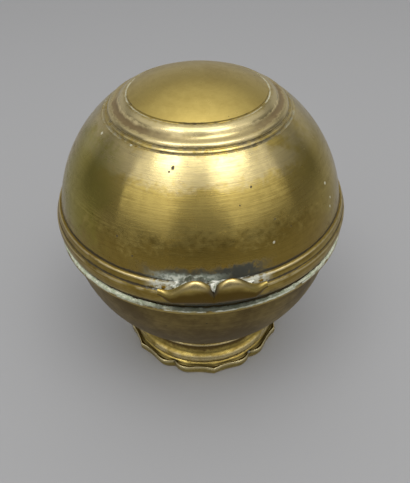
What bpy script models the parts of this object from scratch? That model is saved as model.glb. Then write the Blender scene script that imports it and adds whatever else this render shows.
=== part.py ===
"""A brass soap box: a hinged ball on a moulded foot with a scalloped rim. Metres, +Z up.

The origin is on the floor, on the axis of the ball. The thumbpiece is at -Y and the hinge at +Y.
The bowl, its rim and bezel, the foot, the lower hinge leaf and the pin stay still. The lid, its
moulding, the thumbpiece and the upper hinge leaf turn on the pin.
"""

import math

import bmesh
import bpy
from mathutils import Matrix, Vector

# Driving sizes of the ball
rim_radius = 0.0435
seam_gap = 0.0003
fit_gap = 0.0003
cut_overrun = 0.004
turned_steps = 56
weld_distance = 0.00001
sharp_edge = math.radians(35)

# Foot: a turned drum that opens into a flat rim of six brace-shaped lobes
foot_height = 0.0184
foot_top_radius = 0.0269
foot_wall = 0.0029
foot_neck_step = 0.0006
foot_flange_height = 0.0033
foot_lobe_count = 6
foot_lobe_turn = math.radians(3)
foot_notch_projection = 0.0005
foot_shoulder_projection = 0.0022
foot_waist_projection = 0.0014
foot_cusp_projection = 0.0025

# Bowl: a hemisphere with a short straight collar above it
bowl_set_in = 0.0021
bowl_wall = 0.0018
bowl_collar_height = 0.0041
bowl_rim_height = 0.0022

# Bezel: the ring inside the mouth that centres the lid
bezel_wall = 0.0010
bezel_rise = 0.0035
bezel_depth = 0.0055
bezel_clearance = 0.0003

# Lid: a dome with a turned crown, and a spigot that enters the moulding
lid_set_in = 0.0011
lid_wall = 0.0015
spigot_step = 0.0006
spigot_rise = 0.0018
crown_groove_radius = 0.0187
crown_bead_radius = 0.0237
crown_inner_line_radius = 0.0244
crown_outer_line_radius = 0.02545
crown_line_half_width = 0.00028
crown_line_depth = 0.0004
crown_shoulder_height = 0.00022
crown_cove_depth = 0.00085

# Lid moulding: a slanted band over a fuller bead
lid_band_height = 0.0080
lid_band_projection = 0.0001

# Thumbpiece: a cast brace with two humps, let into the lid moulding
thumb_half_width = 0.0136
thumb_projection = 0.0021
thumb_hump_place = 0.0043
thumb_bottom_rise = 0.0040
thumb_end_bottom_rise = 0.0049
thumb_end_rise = 0.0067
thumb_notch_rise = 0.0071
thumb_hump_rise = 0.0109
thumb_end_depth = 0.0011
thumb_pocket_step = 0.0008

# Hinge: five knuckles on one pin
hinge_width = 0.016
hinge_projection = 0.0028
hinge_barrel_radius = 0.0019
hinge_pin_radius = 0.00065
hinge_pin_head_length = 0.0005
hinge_leaf_thickness = 0.0015
hinge_lid_leaf_height = 0.0073
hinge_bowl_leaf_height = 0.0080
hinge_leaf_rounding = 0.0006
hinge_leaf_set_in = 0.0004
hinge_knuckle_count = 5

# Sizes that follow from them
bowl_radius = rim_radius - bowl_set_in
bowl_inner_radius = bowl_radius - bowl_wall
lid_radius = rim_radius - lid_set_in
lid_band_radius = rim_radius + lid_band_projection
hinge_reach = rim_radius + hinge_projection
foot_drum_radius = foot_top_radius - foot_neck_step
foot_notch_radius = foot_drum_radius + foot_notch_projection
foot_shoulder_radius = foot_drum_radius + foot_shoulder_projection
foot_waist_radius = foot_drum_radius + foot_waist_projection
foot_cusp_radius = foot_drum_radius + foot_cusp_projection
bowl_seat_radius = bowl_radius + fit_gap
bowl_centre_height = foot_height + math.sqrt(bowl_seat_radius**2 - foot_top_radius**2)
rim_height = bowl_centre_height + bowl_collar_height
lid_base_height = rim_height + seam_gap
dome_edge_height = lid_base_height + lid_band_height + fit_gap
dome_edge_radius = math.sqrt(lid_radius**2 - (dome_edge_height - rim_height) ** 2)
spigot_radius = dome_edge_radius - spigot_step
bezel_outer_radius = bowl_inner_radius - fit_gap
spigot_inner_radius = bezel_outer_radius + bezel_clearance
lid_band_inner_radius = spigot_radius + fit_gap
hinge_axis = Vector((0, hinge_reach - hinge_barrel_radius, rim_height + seam_gap / 2))
hinge_flat_distance = hinge_axis.y - hinge_leaf_thickness - fit_gap
hinge_clear_radius = hinge_barrel_radius + fit_gap
hinge_knuckle_length = (hinge_width - (hinge_knuckle_count - 1) * fit_gap) / hinge_knuckle_count
hinge_knuckle_pitch = hinge_knuckle_length + fit_gap


for old in list(bpy.data.objects):
    bpy.data.objects.remove(old, do_unlink=True)

parts = bpy.data.collections.new("soap_box")
cutters = bpy.data.collections.new("soap_box_cutters")
for collection in (parts, cutters):
    bpy.context.scene.collection.children.link(collection)
cutters.hide_render = True


def brass(name, colour, roughness):
    """A metal of the given colour and polish."""
    made = bpy.data.materials.new(name)
    made.use_nodes = True
    shader = made.node_tree.nodes["Principled BSDF"]
    shader.inputs["Base Color"].default_value = (*colour, 1)
    shader.inputs["Roughness"].default_value = roughness
    shader.inputs["Metallic"].default_value = 1
    made.diffuse_color = (*colour, 1)
    return made


polished_brass = brass("polished_brass", (0.56, 0.42, 0.16), 0.32)
cast_brass = brass("cast_brass", (0.50, 0.36, 0.13), 0.42)
browned_brass = brass("browned_brass", (0.34, 0.24, 0.10), 0.5)
bright_brass = brass("bright_brass", (0.64, 0.50, 0.24), 0.28)


def add_object(name, mesh, material, collection=parts):
    made = bpy.data.objects.new(name, mesh)
    made.data.materials.append(material)
    collection.objects.link(made)
    return made


def as_cutter(made):
    made.hide_render = True
    made.display_type = "WIRE"
    return made


def from_bmesh(name, shape, material, collection=parts):
    mesh = bpy.data.meshes.new(name)
    shape.to_mesh(mesh)
    shape.free()
    if mesh.polygons:
        mesh.shade_smooth()
        mesh.set_sharp_from_angle(angle=sharp_edge)
    return add_object(name, mesh, material, collection)


def turned(name, outline, material, closed=True, collection=parts):
    """A turned piece. The outline holds (radius, height) points, down its outer side first."""
    shape = bmesh.new()
    points = [shape.verts.new((radius, 0, height)) for radius, height in outline]
    for start, end in zip(points, points[1:]):
        shape.edges.new((start, end))
    if closed:
        shape.edges.new((points[-1], points[0]))
    made = from_bmesh(name, shape, material, collection)
    screw = made.modifiers.new("turning", "SCREW")
    screw.axis = "Z"
    screw.steps = turned_steps
    screw.render_steps = turned_steps
    screw.use_merge_vertices = True
    screw.merge_threshold = weld_distance
    screw.use_smooth_shade = True
    return made


def cut(made, cutter):
    step = made.modifiers.new("cut by " + cutter.name, "BOOLEAN")
    step.operation = "DIFFERENCE"
    step.solver = "EXACT"
    step.object = cutter


def join(made, other):
    step = made.modifiers.new("joined to " + other.name, "BOOLEAN")
    step.operation = "UNION"
    step.solver = "EXACT"
    step.object = other


def box(name, low, high, material, collection=parts):
    """A block between two corners, as a bmesh primitive in its final place."""
    shape = bmesh.new()
    size = Vector(high) - Vector(low)
    middle = (Vector(high) + Vector(low)) / 2
    place = Matrix.Translation(middle) @ Matrix.Diagonal((*size, 1))
    bmesh.ops.create_cube(shape, size=1, matrix=place)
    return from_bmesh(name, shape, material, collection)


def rod(name, radius, start, end, material, collection=parts, sides=24):
    """A cylinder along X on the hinge's axis, between two places."""
    shape = bmesh.new()
    place = Matrix.Translation(((start + end) / 2, hinge_axis.y, hinge_axis.z))
    lie_down = Matrix.Rotation(math.pi / 2, 4, "Y") @ Matrix.Rotation(math.pi / sides, 4, "Z")
    bmesh.ops.create_cone(
        shape,
        cap_ends=True,
        segments=sides,
        radius1=radius,
        radius2=radius,
        depth=end - start,
        matrix=place @ lie_down,
    )
    return from_bmesh(name, shape, material, collection)


def arc(centre, radius, start, end, count):
    """Points on an arc about (radius, height), with angles in degrees up from the outward side."""
    turn = (end - start) / (count - 1)
    angles = [math.radians(start + turn * i) for i in range(count)]
    return [(centre[0] + radius * math.cos(a), centre[1] + radius * math.sin(a)) for a in angles]


def angle_at_radius(sphere, radius):
    return math.degrees(math.acos(radius / sphere))


def angle_at_height(sphere, height):
    return math.degrees(math.asin(height / sphere))


# Foot
# Each section is a ring that is round on the drum and follows the lobes on the flange.
half_lobe_shares = (0, 0.12, 0.28, 0.5, 0.72, 0.88)
shoulder_share = 0.28
waist_share = 0.66


def lobe_radius(share):
    """Radius of the flange's edge, from a notch at 0 to the point of a lobe at 1."""
    if share <= shoulder_share:
        rise = math.sin(math.pi / 2 * share / shoulder_share)
        return foot_notch_radius + (foot_shoulder_radius - foot_notch_radius) * rise
    if share <= waist_share:
        fall = (share - shoulder_share) / (waist_share - shoulder_share)
        drop = (1 - math.cos(math.pi * fall)) / 2
        return foot_shoulder_radius - (foot_shoulder_radius - foot_waist_radius) * drop
    climb = (share - waist_share) / (1 - waist_share)
    return foot_waist_radius + (foot_cusp_radius - foot_waist_radius) * climb**2


def foot_columns():
    """Angles round the foot, each with the radius of the flange's edge there."""
    half_lobe = math.pi / foot_lobe_count
    columns = []
    for lobe in range(foot_lobe_count):
        notch_angle = (2 * lobe - 1) * half_lobe + foot_lobe_turn
        rising = list(half_lobe_shares)
        falling = [1] + [share for share in reversed(half_lobe_shares) if share > 0]
        for share in rising:
            columns.append((notch_angle + share * half_lobe, lobe_radius(share)))
        for share in falling:
            columns.append((notch_angle + (2 - share) * half_lobe, lobe_radius(share)))
    return columns


def foot_section():
    """(radius, height, share of the lobed edge) round the foot's wall, from the joint downwards."""
    inner_radius = foot_top_radius - foot_wall
    drum_height = foot_height - foot_flange_height
    drum_shares = (
        (1.0, 0.86),
        (1.0, 0.72),
        (0.968, 0.69),
        (0.954, 0.59),
        (0.958, 0.46),
        (0.982, 0.38),
        (1.0, 0.30),
        (1.002, 0.22),
        (0.988, 0.14),
        (0.968, 0.09),
    )
    section = [(foot_top_radius, foot_height, 0)]
    for across, up in drum_shares:
        section.append((foot_drum_radius * across, foot_flange_height + drum_height * up, 0))
    flange_shares = (
        (0.12, 1.16),
        (0.45, 0.90),
        (0.80, 0.98),
        (0.95, 0.90),
        (1.0, 0.66),
        (0.94, 0.30),
        (0.70, 0.0),
    )
    for out, up in flange_shares:
        section.append((foot_drum_radius, foot_flange_height * up, out))
    inner_top = bowl_centre_height - math.sqrt(bowl_seat_radius**2 - inner_radius**2)
    section.append((inner_radius, 0, 0))
    section.append((inner_radius, inner_top, 0))
    return section


def build_foot():
    shape = bmesh.new()
    columns = foot_columns()
    loops = []
    for radius, height, lobed in foot_section():
        ring = bmesh.ops.create_circle(shape, segments=len(columns), radius=radius)["verts"]
        for point, (angle, edge) in zip(ring, columns):
            reach_here = radius + (edge - radius) * lobed
            point.co = (reach_here * math.sin(angle), -reach_here * math.cos(angle), height)
        loops.append(ring)
    for upper, lower in zip(loops, loops[1:] + loops[:1]):
        edges = {edge for ring in (upper, lower) for point in ring for edge in point.link_edges
                 if edge.other_vert(point) in ring}
        bmesh.ops.bridge_loops(shape, edges=list(edges))
    bmesh.ops.recalc_face_normals(shape, faces=shape.faces)
    return from_bmesh("foot", shape, polished_brass)


build_foot()


# Bowl
def bowl_outer_outline(extra=0):
    """The outer side from the mouth to the axis, moved outwards by a clearance."""
    radius = bowl_radius + extra
    sphere = arc((0, bowl_centre_height), radius, 0, -90, 12)
    return [(radius, rim_height)] + sphere


def bowl_inner_outline():
    sphere = arc((0, bowl_centre_height), bowl_inner_radius, -90, 0, 10)
    return sphere + [(bowl_inner_radius, rim_height)]


bowl_outline = bowl_outer_outline() + bowl_inner_outline()
turned("bowl_shell", bowl_outline, browned_brass)

# Bowl rim: the narrow moulding round the mouth
bowl_rim_shares = (
    (0, 1.0),
    (0.50, 1.0),
    (0.92, 0.78),
    (1.0, 0.62),
    (1.0, 0.30),
    (0.80, 0.10),
    (0.45, 0.0),
    (0, 0.0),
)
bowl_rim_inner_radius = bowl_radius + fit_gap
bowl_rim_width = rim_radius - bowl_rim_inner_radius
bowl_rim_base = rim_height - bowl_rim_height
bowl_rim = turned(
    "bowl_rim_moulding",
    [
        (bowl_rim_inner_radius + bowl_rim_width * out, bowl_rim_base + bowl_rim_height * up)
        for out, up in bowl_rim_shares
    ],
    cast_brass,
)

# Bezel
bezel_inner_radius = bezel_outer_radius - bezel_wall
bezel_lead_in_share = 0.35
bezel_lead_in = bezel_wall * bezel_lead_in_share
bezel_top = rim_height + bezel_rise
bezel_base = rim_height - bezel_depth
turned(
    "bezel_ring",
    [
        (bezel_outer_radius - bezel_lead_in, bezel_top),
        (bezel_outer_radius, bezel_top - bezel_lead_in),
        (bezel_outer_radius, bezel_base + bezel_wall),
        (bezel_outer_radius - bezel_lead_in, bezel_base),
        (bezel_inner_radius, bezel_base),
        (bezel_inner_radius, bezel_top),
    ],
    bright_brass,
)


# Lid dome
def on_dome(radius, proud=0):
    """A point of the dome's outer side at a radius, raised or sunk along the sphere's normal."""
    angle = math.radians(angle_at_radius(lid_radius, radius))
    distance = lid_radius + proud
    return (distance * math.cos(angle), rim_height + distance * math.sin(angle))


def crown_line(radius):
    """A fine turned line: its two edges and its bottom."""
    return [
        on_dome(radius - crown_line_half_width),
        on_dome(radius, -crown_line_depth),
        on_dome(radius + crown_line_half_width),
    ]


def lid_outline():
    groove_angle = angle_at_radius(lid_radius, crown_groove_radius)
    crown_start = arc((0, rim_height), lid_radius, 90, groove_angle, 6)
    crown = crown_start[:-1] + crown_line(crown_groove_radius)
    moulding_start = crown_groove_radius + crown_line_half_width
    moulding_width = crown_bead_radius - moulding_start
    crown_moulding_shares = (
        (0.22, 1.0, 0),
        (0.42, 0.6, 0),
        (0.55, 0, 0.45),
        (0.68, 0, 1.0),
        (0.80, 0, 0.75),
        (0.90, 0, 0.1),
    )
    for along, up, down in crown_moulding_shares:
        proud = crown_shoulder_height * up - crown_cove_depth * down
        crown.append(on_dome(moulding_start + moulding_width * along, proud))
    crown.append(on_dome(crown_bead_radius, crown_shoulder_height))
    crown += crown_line(crown_inner_line_radius)
    crown += crown_line(crown_outer_line_radius)
    last_line = angle_at_radius(lid_radius, crown_outer_line_radius + crown_line_half_width)
    dome_edge = angle_at_height(lid_radius, dome_edge_height - rim_height)
    flank = arc((0, rim_height), lid_radius, last_line, dome_edge, 8)[1:]
    spigot_base = lid_base_height + spigot_rise
    spigot = [
        (spigot_radius, dome_edge_height),
        (spigot_radius, spigot_base),
        (spigot_inner_radius, spigot_base),
    ]
    inner_radius = lid_radius - lid_wall
    inner_edge = math.degrees(math.acos(spigot_inner_radius / inner_radius))
    inside = arc((0, rim_height), inner_radius, inner_edge, 90, 8)
    return crown + flank + spigot + inside


turned("lid_dome", lid_outline(), polished_brass)

# Lid moulding
lid_band_shares = (
    (0, 1.0),
    (0.32, 1.0),
    (0.46, 0.975),
    (0.56, 0.92),
    (0.70, 0.765),
    (0.60, 0.735),
    (0.74, 0.71),
    (0.90, 0.65),
    (0.98, 0.56),
    (1.0, 0.46),
    (0.985, 0.32),
    (0.90, 0.21),
    (0.76, 0.13),
    (0.52, 0.06),
    (0.50, 0.0),
    (0, 0.0),
)
lid_band_width = lid_band_radius - lid_band_inner_radius
lid_band = turned(
    "lid_rim_moulding",
    [
        (lid_band_inner_radius + lid_band_width * out, lid_base_height + lid_band_height * up)
        for out, up in lid_band_shares
    ],
    cast_brass,
)

# Thumbpiece
# Its section is flat behind and swells in front, fullest near the bottom.
thumb_back_radius = lid_band_radius - thumb_pocket_step + fit_gap
thumb_depth = rim_radius + thumb_projection - thumb_back_radius
thumb_hump_share = thumb_hump_place / thumb_half_width
thumb_full_share = 0.70
thumb_notch_depth_share = 0.94
thumb_valley_share = 0.70
thumb_stations = 31
thumb_section_shares = (
    (0, 0),
    (0.66, 0.0),
    (0.90, 0.07),
    (1.0, 0.20),
    (0.98, 0.40),
    (0.90, 0.62),
    (0.76, 0.82),
    (0.56, 0.95),
    (0.34, 1.0),
    (0.12, 0.98),
    (0, 0.88),
)


def eased(share):
    """A smooth step from 0 to 1."""
    return (1 - math.cos(math.pi * share)) / 2


def thumb_top_rise(across):
    """Height of the top edge over the moulding's base, from the notch at 0 to the end at 1."""
    if across <= thumb_hump_share:
        climb = math.sin(math.pi / 2 * (across / thumb_hump_share) ** thumb_valley_share)
        return thumb_notch_rise + (thumb_hump_rise - thumb_notch_rise) * climb
    fall = (across - thumb_hump_share) / (1 - thumb_hump_share)
    return thumb_hump_rise - (thumb_hump_rise - thumb_end_rise) * eased(fall)


def thumb_swell(across):
    """0 at the ends and 1 over the middle stretch."""
    if across <= thumb_full_share:
        return 1
    return eased((1 - across) / (1 - thumb_full_share))


def thumb_depth_at(across):
    """Thickness outwards from the pocket, a little less at the notch and least at the ends."""
    depth = thumb_end_depth + (thumb_depth - thumb_end_depth) * thumb_swell(across)
    if across >= thumb_hump_share:
        return depth
    rise = math.sin(math.pi / 2 * across / thumb_hump_share)
    return depth * (thumb_notch_depth_share + (1 - thumb_notch_depth_share) * rise)


def build_thumbpiece():
    """Closed sections bridged along the moulding's curve."""
    shape = bmesh.new()
    points_round = len(thumb_section_shares)
    loops = []
    for station in range(thumb_stations):
        across = 2 * station / (thumb_stations - 1) - 1
        angle = across * thumb_half_width / lid_band_radius
        top = thumb_top_rise(abs(across))
        lift = (thumb_end_bottom_rise - thumb_bottom_rise) * (1 - thumb_swell(abs(across)))
        bottom = thumb_bottom_rise + lift
        depth = thumb_depth_at(abs(across))
        ring = bmesh.ops.create_circle(shape, segments=points_round, radius=depth)["verts"]
        for point, (out, up) in zip(ring, thumb_section_shares):
            radius = thumb_back_radius + depth * out
            height = lid_base_height + bottom + (top - bottom) * up
            point.co = (radius * math.sin(angle), -radius * math.cos(angle), height)
        loops.append(ring)
    for left, right in zip(loops, loops[1:]):
        edges = {edge for ring in (left, right) for point in ring for edge in point.link_edges
                 if edge.other_vert(point) in ring}
        bmesh.ops.bridge_loops(shape, edges=list(edges))
    for ring in (loops[0], loops[-1]):
        shape.faces.new(ring)
    bmesh.ops.recalc_face_normals(shape, faces=shape.faces)
    return from_bmesh("thumbpiece", shape, cast_brass)


def thumb_pocket():
    """A curved block that lets the thumbpiece into the moulding's bead."""
    shape = bmesh.new()
    low = lid_base_height + thumb_bottom_rise - fit_gap
    high = lid_base_height + lid_band_height + cut_overrun
    inner = thumb_back_radius - fit_gap
    outer = lid_band_radius + cut_overrun
    outline = ((inner, low), (outer, low), (outer, high), (inner, high))
    shape.faces.new([shape.verts.new((0, -radius, height)) for radius, height in outline])
    half_turn = (thumb_half_width + fit_gap) / lid_band_radius
    first_turn = Matrix.Rotation(-half_turn, 3, "Z")
    bmesh.ops.rotate(shape, verts=shape.verts, cent=(0, 0, 0), matrix=first_turn)
    bmesh.ops.spin(
        shape,
        geom=shape.verts[:] + shape.edges[:] + shape.faces[:],
        cent=(0, 0, 0),
        axis=(0, 0, 1),
        angle=2 * half_turn,
        steps=12,
        use_duplicate=False,
    )
    bmesh.ops.recalc_face_normals(shape, faces=shape.faces)
    return as_cutter(from_bmesh("thumb_pocket", shape, cast_brass, cutters))


build_thumbpiece()
cut(lid_band, thumb_pocket())

# Hinge
hinge_half_width = hinge_width / 2
hinge_slot = as_cutter(
    rod(
        "hinge_slot",
        hinge_clear_radius,
        -hinge_half_width - fit_gap,
        hinge_half_width + fit_gap,
        cast_brass,
        cutters,
    )
)
hinge_flat = as_cutter(
    box(
        "hinge_flat",
        (-hinge_half_width - cut_overrun, hinge_flat_distance, bowl_rim_base - cut_overrun),
        (
            hinge_half_width + cut_overrun,
            hinge_reach + cut_overrun,
            lid_base_height + lid_band_height + cut_overrun,
        ),
        cast_brass,
        cutters,
    )
)
for moulding in (lid_band, bowl_rim):
    cut(moulding, hinge_flat)
    cut(moulding, hinge_slot)


def knuckle_span(index):
    start = -hinge_half_width + index * hinge_knuckle_pitch
    return start, start + hinge_knuckle_length


def build_leaf(name, inner_face, knee, far_face, far_edge, rooms, own_knuckles, other_knuckles):
    """A plate from the hinge's axis to its far edge, seated in its rooms, with its knuckles.

    Its outer side runs straight to the height of the knee and then slopes to the far face, where
    the corner is rounded. It is cleared where the other leaf's knuckles turn.
    """
    half_width = hinge_half_width - hinge_leaf_set_in
    away = math.copysign(1, far_edge - hinge_axis.z)
    corner = arc((far_face - hinge_leaf_rounding, 0), hinge_leaf_rounding, 0, 90, 4)
    outline = [(inner_face, hinge_axis.z), (hinge_axis.y, hinge_axis.z), (hinge_axis.y, knee)]
    outline += [(y, far_edge + away * (z - hinge_leaf_rounding)) for y, z in corner]
    outline.append((inner_face, far_edge))
    shape = bmesh.new()
    face = shape.faces.new([shape.verts.new((-half_width, y, z)) for y, z in outline])
    grown = bmesh.ops.extrude_face_region(shape, geom=[face])["geom"]
    moved = [item for item in grown if isinstance(item, bmesh.types.BMVert)]
    bmesh.ops.translate(shape, verts=moved, vec=(2 * half_width, 0, 0))
    bmesh.ops.recalc_face_normals(shape, faces=shape.faces)
    leaf = from_bmesh(name, shape, cast_brass)
    for room in rooms:
        cut(leaf, room)
    for index in other_knuckles:
        start, end = knuckle_span(index)
        room = rod(
            f"{name}_room_{index}",
            hinge_clear_radius,
            start - fit_gap - hinge_leaf_set_in,
            end + fit_gap + hinge_leaf_set_in,
            cast_brass,
            cutters,
        )
        cut(leaf, as_cutter(room))
    for index in own_knuckles:
        start, end = knuckle_span(index)
        knuckle = rod(f"{name}_knuckle_{index}", hinge_barrel_radius, start, end, cast_brass, cutters)
        join(leaf, as_cutter(knuckle))
    return leaf


lid_knuckles = range(1, hinge_knuckle_count, 2)
bowl_knuckles = range(0, hinge_knuckle_count, 2)
leaf_inner = hinge_axis.y - hinge_leaf_thickness
rim_room = as_cutter(
    box(
        "rim_room",
        (-hinge_half_width - cut_overrun, 0, bowl_rim_base - fit_gap),
        (hinge_half_width + cut_overrun, leaf_inner, rim_height + cut_overrun),
        cast_brass,
        cutters,
    )
)
bowl_room_outline = [(0, rim_height + cut_overrun), (bowl_seat_radius, rim_height + cut_overrun)]
bowl_room_outline += bowl_outer_outline(fit_gap)[1:]
bowl_room = as_cutter(turned("bowl_room", bowl_room_outline, cast_brass, False, cutters))
lid_leaf = build_leaf(
    "lid_hinge_leaf",
    leaf_inner,
    hinge_axis.z + hinge_lid_leaf_height / 2,
    hinge_axis.y,
    hinge_axis.z + hinge_lid_leaf_height,
    (),
    lid_knuckles,
    bowl_knuckles,
)
bowl_leaf = build_leaf(
    "bowl_hinge_leaf",
    bowl_inner_radius,
    bowl_rim_base,
    bowl_seat_radius + hinge_leaf_thickness,
    hinge_axis.z - hinge_bowl_leaf_height,
    (rim_room, bowl_room),
    bowl_knuckles,
    lid_knuckles,
)
pin_bore = as_cutter(
    rod(
        "pin_bore",
        hinge_pin_radius + fit_gap,
        -hinge_half_width - cut_overrun,
        hinge_half_width + cut_overrun,
        cast_brass,
        cutters,
        16,
    )
)
for leaf in (lid_leaf, bowl_leaf):
    cut(leaf, pin_bore)

pin_half_length = hinge_half_width + hinge_pin_head_length
rod("hinge_pin", hinge_pin_radius, -pin_half_length, pin_half_length, bright_brass, parts, 16)

# The lid's pieces hang from an empty on the hinge's axis
lid_pivot = bpy.data.objects.new("lid_pivot", None)
lid_pivot.location = hinge_axis
parts.objects.link(lid_pivot)
for name in ("lid_dome", "lid_rim_moulding", "thumbpiece", "lid_hinge_leaf"):
    piece = bpy.data.objects[name]
    piece.parent = lid_pivot
    piece.matrix_parent_inverse = Matrix.Translation(-hinge_axis)
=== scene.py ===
"""An old brass soap box: a hinged ball on a scalloped foot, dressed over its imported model."""

import math

import bmesh
import bpy
from mathutils import Matrix, Vector, noise


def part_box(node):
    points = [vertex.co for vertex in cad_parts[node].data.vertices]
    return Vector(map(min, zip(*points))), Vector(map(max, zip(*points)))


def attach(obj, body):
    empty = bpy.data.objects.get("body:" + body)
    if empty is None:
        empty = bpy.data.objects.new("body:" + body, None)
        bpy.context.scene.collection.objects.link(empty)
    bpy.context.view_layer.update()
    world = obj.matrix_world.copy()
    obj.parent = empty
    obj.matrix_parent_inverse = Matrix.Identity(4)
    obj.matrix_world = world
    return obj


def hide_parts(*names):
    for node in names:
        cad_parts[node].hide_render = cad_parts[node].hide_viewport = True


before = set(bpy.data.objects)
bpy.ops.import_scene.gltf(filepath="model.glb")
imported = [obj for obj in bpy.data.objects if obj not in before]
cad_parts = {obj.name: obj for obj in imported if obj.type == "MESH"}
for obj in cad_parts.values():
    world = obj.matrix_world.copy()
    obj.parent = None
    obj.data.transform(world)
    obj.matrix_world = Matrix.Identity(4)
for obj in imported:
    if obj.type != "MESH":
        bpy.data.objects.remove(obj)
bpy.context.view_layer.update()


# Foot
# One brass casting, hollow beneath: a turned drum that opens into a flat rim of six brace-shaped
# lobes. Its top is shaped to the bottom of the bowl and soft-soldered there.
foot_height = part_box("foot")[1].z
foot_top_radius = 0.0269
foot_drum_radius = 0.0263
foot_inner_radius = 0.0240
foot_flange_height = 0.0033
foot_lobe_count = 6
foot_lobe_turn = math.radians(3)
foot_notch_radius = 0.0268
foot_shoulder_radius = 0.0285
foot_waist_radius = 0.0277
foot_cusp_radius = 0.0288
foot_shoulder_share = 0.28
foot_waist_share = 0.66
foot_inner_chamfer = 0.0003
foot_notch_height = 0.0030
foot_notch_inset = 0.0002
foot_steps = 360
bowl_seat_radius = 0.0417
bowl_centre_height = 0.050263
brass_colour = (0.60, 0.455, 0.132, 1)
worn_and_sheen_colour = (0.76, 0.63, 0.33, 1)
brown_colour = (0.25, 0.168, 0.036, 1)
grime_colour = (0.028, 0.022, 0.014, 1)


def softened(outline, reach, closed=True):
    """The outline with each corner turned into a short curve that starts this far before it."""
    count = len(outline)
    eased = []
    for i in range(count):
        here = Vector(outline[i])
        if not closed and i in (0, count - 1):
            eased.append(tuple(here))
            continue
        before = Vector(outline[i - 1]) - here
        after = Vector(outline[(i + 1) % count]) - here
        start = here + before * min(0.5, reach / before.length)
        end = here + after * min(0.5, reach / after.length)
        for t in (0, 0.25, 0.5, 0.75, 1):
            eased.append(tuple(start * (1 - t) ** 2 + here * 2 * t * (1 - t) + end * t**2))
    return eased


def arc(centre, radius, start, end, count):
    """Points on an arc about (radius, height), with angles in degrees up from the outward side."""
    turn = (end - start) / (count - 1)
    angles = [math.radians(start + turn * i) for i in range(count)]
    return [(centre[0] + radius * math.cos(a), centre[1] + radius * math.sin(a)) for a in angles]


def turned(outline, steps, closed=True, angle=2 * math.pi):
    """A bmesh turned about the upright axis from (radius, height) points."""
    shape = bmesh.new()
    points = [shape.verts.new((0, -radius, height)) for radius, height in outline]
    edges = [shape.edges.new(pair) for pair in zip(points, points[1:])]
    if closed:
        edges.append(shape.edges.new((points[-1], points[0])))
    bmesh.ops.spin(
        shape,
        geom=points + edges,
        cent=(0, 0, 0),
        axis=(0, 0, 1),
        angle=angle,
        steps=steps,
        use_merge=angle > 6,
    )
    bmesh.ops.remove_doubles(shape, verts=shape.verts, dist=0.000002)
    bmesh.ops.recalc_face_normals(shape, faces=shape.faces)
    return shape


def finished(name, shape, material, body, *nodes, sharp=40):
    """Makes a piece from its bmesh, shades it, and lets it ride and stand for its nodes."""
    mesh = bpy.data.meshes.new(name)
    shape.to_mesh(mesh)
    shape.free()
    mesh.shade_smooth()
    mesh.set_sharp_from_angle(angle=math.radians(sharp))
    mesh.materials.append(material)
    piece = bpy.data.objects.new(name, mesh)
    bpy.context.scene.collection.objects.link(piece)
    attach(piece, body)
    if nodes:
        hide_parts(*nodes)
    return piece


def put(tree, kind, inputs=None, **settings):
    """A node of this kind. An input is a value, or the socket that feeds it."""
    made = tree.nodes.new("ShaderNode" + kind)
    for name, value in settings.items():
        setattr(made, name, value)
    for name, value in (inputs or {}).items():
        if isinstance(value, bpy.types.NodeSocket):
            tree.links.new(value, made.inputs[name])
        else:
            made.inputs[name].default_value = value
    return made


def maths(tree, operation, *values):
    """The result of a Math node on values or sockets."""
    return put(tree, "Math", dict(enumerate(values)), operation=operation).outputs[0]


def times(tree, first, second):
    """The product of two values or sockets."""
    return maths(tree, "MULTIPLY", first, second)


def plus(tree, first, second):
    """The sum of two values or sockets."""
    return maths(tree, "ADD", first, second)


def swing(tree, value, amount):
    """How far a value is from a half, times an amount."""
    return times(tree, maths(tree, "SUBTRACT", value, 0.5), amount)


def noise_level(tree, place, scale, detail, roughness=0.5):
    """The level of a noise at a place, from 0 to 1."""
    inputs = {"Vector": place, "Scale": scale, "Detail": detail, "Roughness": roughness}
    return put(tree, "TexNoise", inputs).outputs["Fac"]


def eased_range(tree, value, low, high, to_low=0, to_high=1):
    """A smooth step of the value between two levels."""
    made = put(
        tree,
        "MapRange",
        {"Value": value, "From Min": low, "From Max": high, "To Min": to_low, "To Max": to_high},
        interpolation_type="SMOOTHSTEP",
    )
    return made.outputs["Result"]


def mixed(tree, share, first, second):
    """Two colours mixed by a share."""
    made = put(tree, "Mix", {"Factor": share, "A": first, "B": second}, data_type="RGBA")
    return made.outputs["Result"]


def effect(name, inputs, outputs):
    """A new node group, with the sockets that give its inputs and take its outputs.

    An input without a value is a vector, one with four is a colour, and any other is a number.
    """
    tree = bpy.data.node_groups.new(name, "ShaderNodeTree")
    for label, value in inputs.items():
        kind = "Vector" if value is None else "Color" if isinstance(value, tuple) else "Float"
        socket = tree.interface.new_socket(label, in_out="INPUT", socket_type="NodeSocket" + kind)
        if value is not None:
            socket.default_value = value
    for label, kind in outputs:
        tree.interface.new_socket(label, in_out="OUTPUT", socket_type="NodeSocket" + kind)
    given = tree.nodes.new("NodeGroupInput")
    result = tree.nodes.new("NodeGroupOutput")
    return tree, given.outputs, result.inputs


def use(tree, group, **inputs):
    """A group placed in a tree, with its inputs named by their words joined by underscores."""
    made = tree.nodes.new("ShaderNodeGroup")
    made.node_tree = group
    for name, value in inputs.items():
        socket = made.inputs[name.replace("_", " ").capitalize()]
        if isinstance(value, bpy.types.NodeSocket):
            tree.links.new(value, socket)
        else:
            socket.default_value = value
    return made


def distance_from_axis(tree, x, y):
    """The radius of a place, from its X and Y."""
    squares = plus(tree, times(tree, x, x), times(tree, y, y))
    return maths(tree, "SQRT", squares)


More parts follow.
